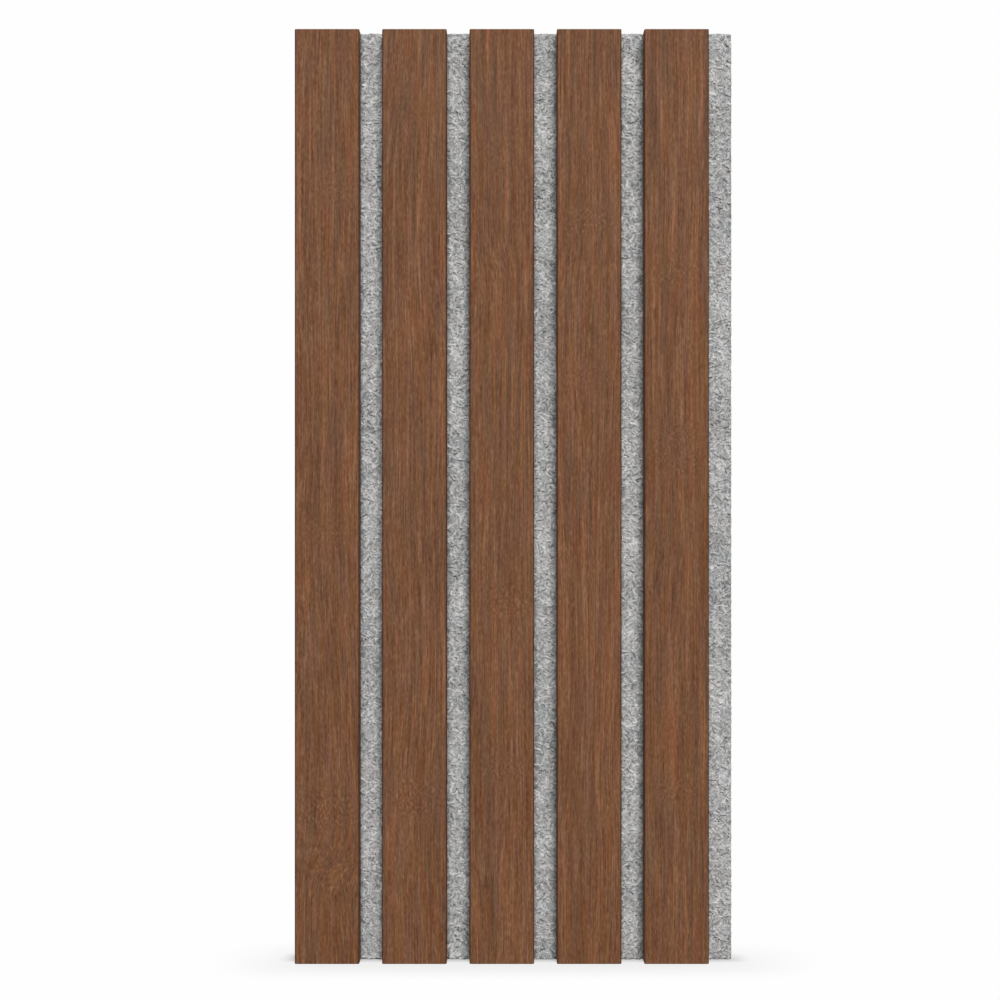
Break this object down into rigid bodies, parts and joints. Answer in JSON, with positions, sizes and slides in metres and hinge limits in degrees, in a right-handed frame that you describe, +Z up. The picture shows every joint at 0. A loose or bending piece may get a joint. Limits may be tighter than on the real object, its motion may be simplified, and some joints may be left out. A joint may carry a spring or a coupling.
{
  "type": "acoustic slat wall panel",
  "caption": "Wall panel of upright veneered slats fixed with gaps to a grey felt backing that absorbs sound.",
  "frame": {"origin": "middle of the panel's foot: the centre of its width and depth, at the level of its lower end", "axes": "+Z up along the slats, -Y out of the slats' faces into the room, +Y to the wall, +X to the right as seen from the room"},
  "size_m": [0.201, 0.021, 0.428],
  "materials": {
    "walnut": "walnut veneer, matt clear lacquer",
    "felt": "mottled grey needle-punched polyester felt",
    "staple_wire": "galvanised flat wire"
  },
  "bodies": {
    "root": {"felt_backing": "felt", "slat_1": "walnut", "slat_2": "walnut", "slat_3": "walnut", "slat_4": "walnut", "slat_5": "walnut", "staples": "staple_wire"}
  },
  "joints": []
}
